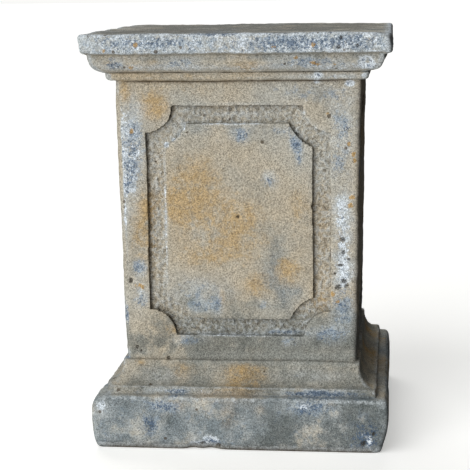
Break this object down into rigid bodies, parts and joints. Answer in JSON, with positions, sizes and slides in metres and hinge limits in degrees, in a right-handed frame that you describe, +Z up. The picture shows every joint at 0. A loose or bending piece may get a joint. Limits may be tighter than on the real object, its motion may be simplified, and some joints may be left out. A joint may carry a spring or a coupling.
{
  "type": "stone plinth",
  "caption": "Square weathered stone garden plinth with a moulded cap, a sunk scooped-corner panel on each face and a stepped base, to carry an urn or statue.",
  "frame": {"origin": "middle of the underside, on the ground", "axes": "+Z up, -Y towards the front face that the picture shows, +X to that face's right"},
  "size_m": [0.551, 0.551, 0.76],
  "materials": {
    "weathered_stone": "weathered buff stone with grey and white lichen bloom, ochre stains and small pits"
  },
  "bodies": {
    "root": {"plinth": "weathered_stone"}
  },
  "joints": []
}
